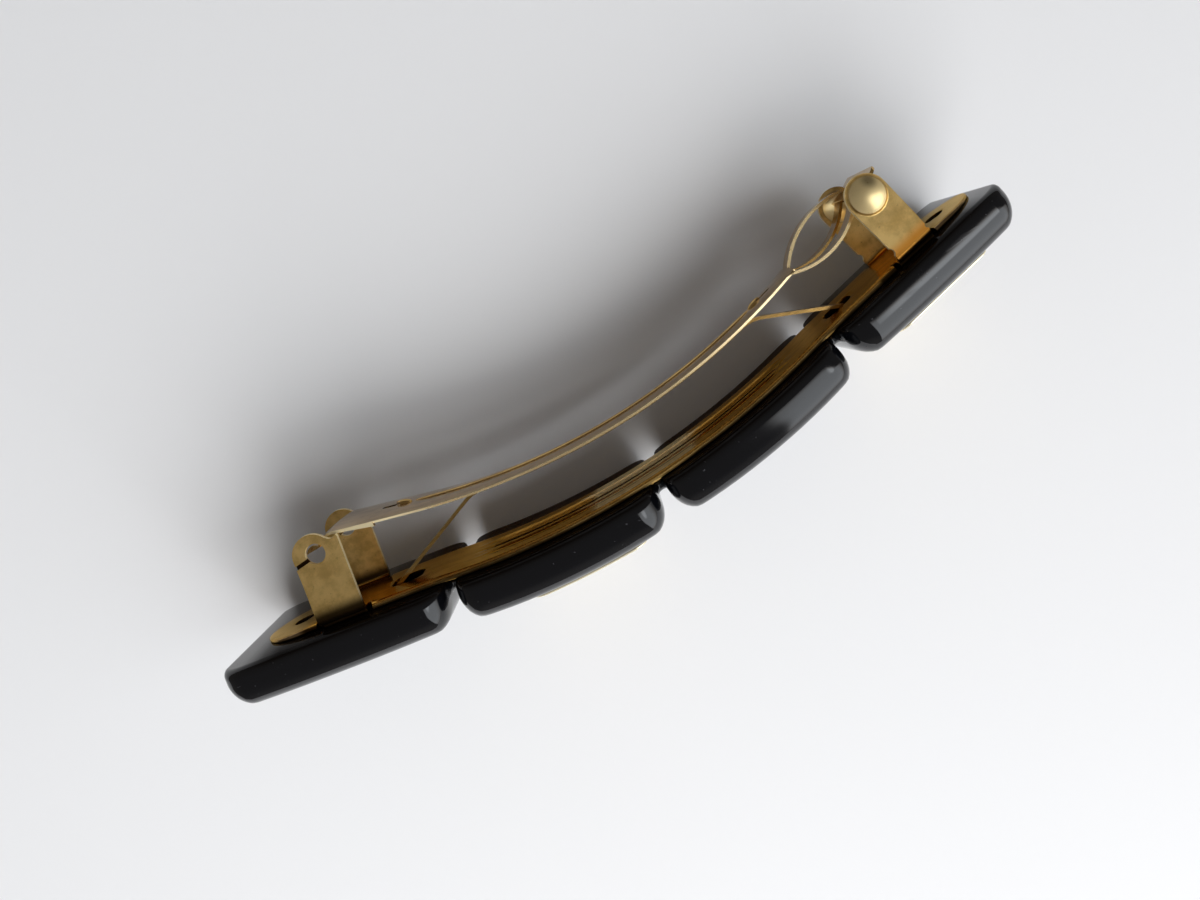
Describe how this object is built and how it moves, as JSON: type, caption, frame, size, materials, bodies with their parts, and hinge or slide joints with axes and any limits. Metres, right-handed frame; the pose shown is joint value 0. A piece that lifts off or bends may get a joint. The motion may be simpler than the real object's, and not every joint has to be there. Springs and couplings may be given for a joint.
{
  "type": "hair barrette",
  "caption": "Long bowed hair barrette of joined black pillow tiles with thin gilt panels, on a brass French clip with a sprung bar and a snap arm.",
  "frame": {"origin": "middle of the overall box, on the surface that the barrette's side edge rests on", "axes": "+X runs along the clip from the hinge to the clasp, +Y points to the hair, +Z is across the strip's width, up from the resting side"},
  "size_m": [0.0936, 0.0204, 0.0194],
  "materials": {
    "black_plastic": "polished black, moulded",
    "gilt": "thin polished gilt plate",
    "brass": "satin rolled sheet, lightly tarnished"
  },
  "bodies": {
    "clip_base": {"front_strip": "black_plastic", "panel_second_tile": "gilt", "panel_last_tile": "gilt", "base_plate": "brass", "tension_bar": "brass"},
    "arm": {"arm": "brass"}
  },
  "joints": [
    {"name": "arm_hinge", "type": "hinge", "parent": "clip_base", "child": "arm", "pos_m": [-0.03231, 0.00719, 0.0118], "axis": [0, 0, 1], "range_deg": [0, 70]}
  ]
}
